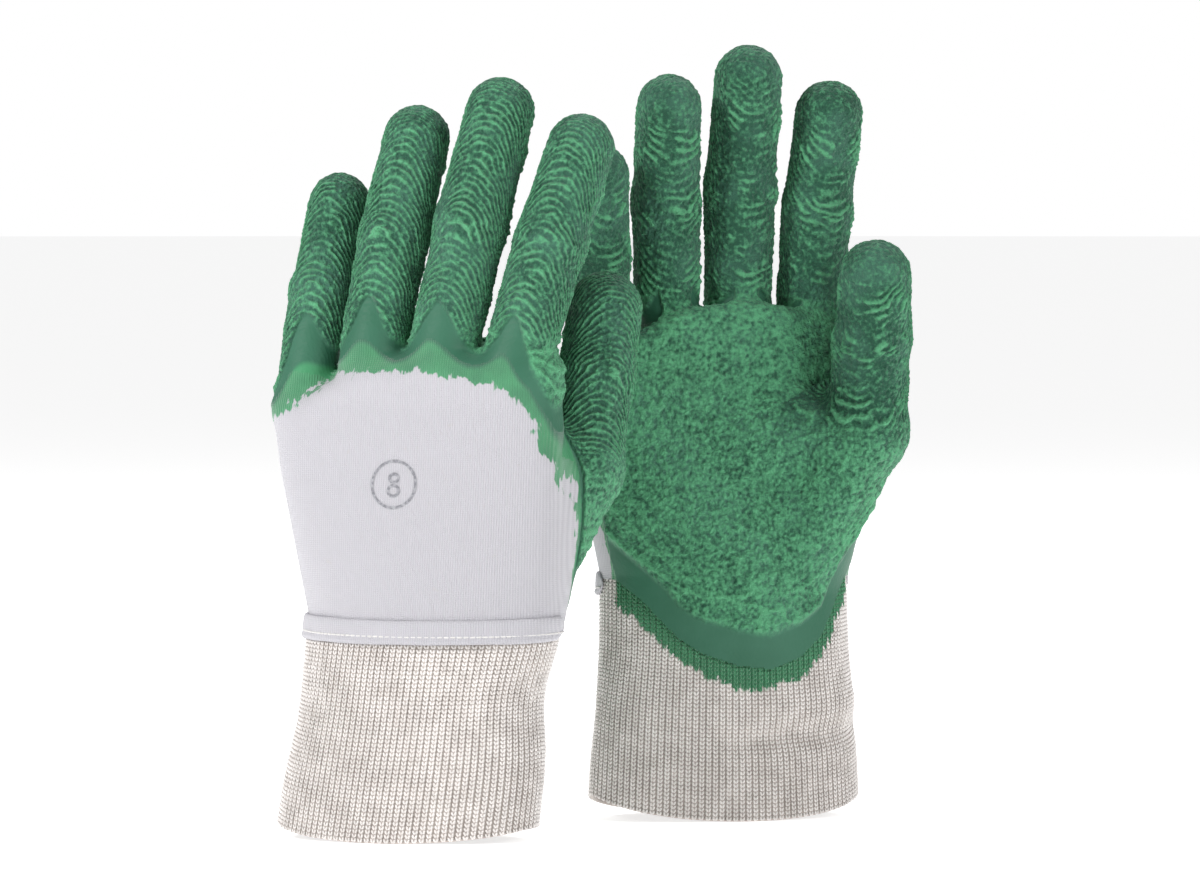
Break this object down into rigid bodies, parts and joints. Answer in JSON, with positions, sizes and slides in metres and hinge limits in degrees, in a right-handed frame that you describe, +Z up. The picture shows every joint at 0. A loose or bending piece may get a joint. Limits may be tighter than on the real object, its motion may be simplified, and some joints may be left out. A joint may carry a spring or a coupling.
{
  "type": "gardening gloves",
  "caption": "Pair of knitted cotton gardening gloves with a crinkled latex grip coat on palms and fingers, open cotton backs and rib-knit cuffs.",
  "frame": {"origin": "on the floor under the middle of the pair", "axes": "+Z up along the fingers, +X across the pair from the left-hand glove to the right-hand glove, -Y towards the viewer"},
  "size_m": [0.2022, 0.1556, 0.2481],
  "materials": {
    "latex": "matt crinkled latex",
    "latex_fold": "matt crinkled latex",
    "jersey": "fine cotton interlock jersey",
    "rib_knit": "unbleached cotton rib knit",
    "thread": "twisted cotton sewing thread"
  },
  "bodies": {
    "left_hand": {"left_cuff": "rib_knit", "left_hem": "jersey", "left_seam_thread": "thread", "left_jersey_back": "jersey", "left_jersey_palm": "jersey", "left_latex_coat": "latex", "left_base_folds": "latex_fold"},
    "left_index_lower": {"left_index_lower": "latex", "left_index_liner": "jersey", "left_index_fold": "latex_fold"},
    "left_index_tip": {"left_index_tip": "latex"},
    "left_middle_lower": {"left_middle_lower": "latex", "left_middle_liner": "jersey", "left_middle_fold": "latex_fold"},
    "left_middle_tip": {"left_middle_tip": "latex"},
    "left_ring_lower": {"left_ring_lower": "latex", "left_ring_liner": "jersey", "left_ring_fold": "latex_fold"},
    "left_ring_tip": {"left_ring_tip": "latex"},
    "left_little_lower": {"left_little_lower": "latex", "left_little_liner": "jersey", "left_little_fold": "latex_fold"},
    "left_little_tip": {"left_little_tip": "latex"},
    "left_thumb_lower": {"left_thumb_lower": "latex", "left_thumb_liner": "jersey", "left_thumb_fold": "latex_fold"},
    "left_thumb_tip": {"left_thumb_tip": "latex"},
    "right_hand": {"right_cuff": "rib_knit", "right_hem": "jersey", "right_seam_thread": "thread", "right_jersey_back": "jersey", "right_jersey_palm": "jersey", "right_latex_coat": "latex", "right_base_folds": "latex_fold"},
    "right_index_lower": {"right_index_lower": "latex", "right_index_liner": "jersey", "right_index_fold": "latex_fold"},
    "right_index_tip": {"right_index_tip": "latex"},
    "right_middle_lower": {"right_middle_lower": "latex", "right_middle_liner": "jersey", "right_middle_fold": "latex_fold"},
    "right_middle_tip": {"right_middle_tip": "latex"},
    "right_ring_lower": {"right_ring_lower": "latex", "right_ring_liner": "jersey", "right_ring_fold": "latex_fold"},
    "right_ring_tip": {"right_ring_tip": "latex"},
    "right_little_lower": {"right_little_lower": "latex", "right_little_liner": "jersey", "right_little_fold": "latex_fold"},
    "right_little_tip": {"right_little_tip": "latex"},
    "right_thumb_lower": {"right_thumb_lower": "latex", "right_thumb_liner": "jersey", "right_thumb_fold": "latex_fold"},
    "right_thumb_tip": {"right_thumb_tip": "latex"}
  },
  "joints": [
    {"name": "pair_slide", "type": "slide", "parent": "left_hand", "child": "right_hand", "axis": [1, 0, 0], "range_m": [0, 0.06]},
    {"name": "left_index_base", "type": "hinge", "parent": "left_hand", "child": "left_index_lower", "pos_m": [-0.02149, -0.05707, 0.16], "axis": [-0.9187, 0.2985, 0.2588], "range_deg": [-10, 30], "stiffness_Nm_per_rad": 0.05, "deforming": ["left_base_folds", "left_index_liner"]},
    {"name": "left_index_middle", "type": "hinge", "parent": "left_index_lower", "child": "left_index_tip", "pos_m": [-0.01414, -0.05698, 0.18598], "axis": [-0.9187, 0.2985, 0.2588], "range_deg": [0, 70], "stiffness_Nm_per_rad": 0.05, "deforming": ["left_index_fold", "left_index_liner"]},
    {"name": "left_middle_base", "type": "hinge", "parent": "left_hand", "child": "left_middle_lower", "pos_m": [-0.0451, -0.05045, 0.164], "axis": [-0.9303, 0.3023, 0.2079], "range_deg": [-10, 45], "stiffness_Nm_per_rad": 0.05, "deforming": ["left_base_folds", "left_middle_liner"]},
    {"name": "left_middle_middle", "type": "hinge", "parent": "left_middle_lower", "child": "left_middle_tip", "pos_m": [-0.0386, -0.0499, 0.19226], "axis": [-0.9303, 0.3023, 0.2079], "range_deg": [0, 80], "stiffness_Nm_per_rad": 0.05, "deforming": ["left_middle_fold", "left_middle_liner"]},
    {"name": "left_ring_base", "type": "hinge", "parent": "left_hand", "child": "left_ring_lower", "pos_m": [-0.0679, -0.04199, 0.161], "axis": [-0.938, 0.3048, 0.165], "range_deg": [-10, 45], "stiffness_Nm_per_rad": 0.05, "deforming": ["left_base_folds", "left_ring_liner"]},
    {"name": "left_ring_middle", "type": "hinge", "parent": "left_ring_lower", "child": "left_ring_tip", "pos_m": [-0.06281, -0.04068, 0.18748], "axis": [-0.938, 0.3048, 0.165], "range_deg": [0, 80], "stiffness_Nm_per_rad": 0.05, "deforming": ["left_ring_fold", "left_ring_liner"]},
    {"name": "left_little_base", "type": "hinge", "parent": "left_hand", "child": "left_little_lower", "pos_m": [-0.089, -0.0325, 0.149], "axis": [-0.944, 0.3067, 0.1219], "range_deg": [-10, 45], "stiffness_Nm_per_rad": 0.05, "deforming": ["left_base_folds", "left_little_liner"]},
    {"name": "left_little_middle", "type": "hinge", "parent": "left_little_lower", "child": "left_little_tip", "pos_m": [-0.08553, -0.03041, 0.17062], "axis": [-0.944, 0.3067, 0.1219], "range_deg": [0, 80], "stiffness_Nm_per_rad": 0.05, "deforming": ["left_little_fold", "left_little_liner"]},
    {"name": "left_thumb_base", "type": "hinge", "parent": "left_hand", "child": "left_thumb_lower", "pos_m": [-0.00347, -0.03769, 0.121], "axis": [-0.9379, -0.2909, 0.1889], "range_deg": [-10, 30], "stiffness_Nm_per_rad": 0.05, "deforming": ["left_base_folds", "left_thumb_liner"]},
    {"name": "left_thumb_middle", "type": "hinge", "parent": "left_thumb_lower", "child": "left_thumb_tip", "pos_m": [0.00044, -0.03501, 0.14453], "axis": [-0.9379, -0.2909, 0.1889], "range_deg": [0, 55], "stiffness_Nm_per_rad": 0.05, "deforming": ["left_thumb_fold", "left_thumb_liner"]},
    {"name": "right_index_base", "type": "hinge", "parent": "right_hand", "child": "right_index_lower", "pos_m": [0.06951, 0.05707, 0.169], "axis": [0.9498, 0.3086, -0.0523], "range_deg": [-10, 30], "stiffness_Nm_per_rad": 0.05, "deforming": ["right_base_folds", "right_index_liner"]},
    {"name": "right_index_middle", "type": "hinge", "parent": "right_index_lower", "child": "right_index_tip", "pos_m": [0.07158, 0.05527, 0.19586], "axis": [0.9498, 0.3086, -0.0523], "range_deg": [0, 70], "stiffness_Nm_per_rad": 0.05, "deforming": ["right_index_fold", "right_index_liner"]},
    {"name": "right_middle_base", "type": "hinge", "parent": "right_hand", "child": "right_middle_lower", "pos_m": [0.0459, 0.05045, 0.173], "axis": [0.9511, 0.309, 0], "range_deg": [-10, 45], "stiffness_Nm_per_rad": 0.05, "deforming": ["right_base_folds", "right_middle_liner"]},
    {"name": "right_middle_middle", "type": "hinge", "parent": "right_middle_lower", "child": "right_middle_tip", "pos_m": [0.04668, 0.04805, 0.20189], "axis": [0.9511, 0.309, 0], "range_deg": [0, 80], "stiffness_Nm_per_rad": 0.05, "deforming": ["right_middle_fold", "right_middle_liner"]},
    {"name": "right_ring_base", "type": "hinge", "parent": "right_hand", "child": "right_ring_lower", "pos_m": [0.0231, 0.04199, 0.17], "axis": [0.9502, 0.3087, 0.0436], "range_deg": [-10, 45], "stiffness_Nm_per_rad": 0.05, "deforming": ["right_base_folds", "right_ring_liner"]},
    {"name": "right_ring_middle", "type": "hinge", "parent": "right_ring_lower", "child": "right_ring_tip", "pos_m": [0.02286, 0.03894, 0.19683], "axis": [0.9502, 0.3087, 0.0436], "range_deg": [0, 80], "stiffness_Nm_per_rad": 0.05, "deforming": ["right_ring_fold", "right_ring_liner"]},
    {"name": "right_little_base", "type": "hinge", "parent": "right_hand", "child": "right_little_lower", "pos_m": [0.002, 0.0325, 0.158], "axis": [0.9474, 0.3078, 0.0872], "range_deg": [-10, 45], "stiffness_Nm_per_rad": 0.05, "deforming": ["right_base_folds", "right_little_liner"]},
    {"name": "right_little_middle", "type": "hinge", "parent": "right_little_lower", "child": "right_little_tip", "pos_m": [0.00114, 0.02901, 0.1797], "axis": [0.9474, 0.3078, 0.0872], "range_deg": [0, 80], "stiffness_Nm_per_rad": 0.05, "deforming": ["right_little_fold", "right_little_liner"]},
    {"name": "right_thumb_base", "type": "hinge", "parent": "right_hand", "child": "right_thumb_lower", "pos_m": [0.08753, 0.03769, 0.13], "axis": [0.9525, -0.2862, -0.104], "range_deg": [-10, 30], "stiffness_Nm_per_rad": 0.05, "deforming": ["right_base_folds", "right_thumb_liner"]},
    {"name": "right_thumb_middle", "type": "hinge", "parent": "right_thumb_lower", "child": "right_thumb_tip", "pos_m": [0.08909, 0.03425, 0.1537], "axis": [0.9525, -0.2862, -0.104], "range_deg": [0, 55], "stiffness_Nm_per_rad": 0.05, "deforming": ["right_thumb_fold", "right_thumb_liner"]}
  ]
}
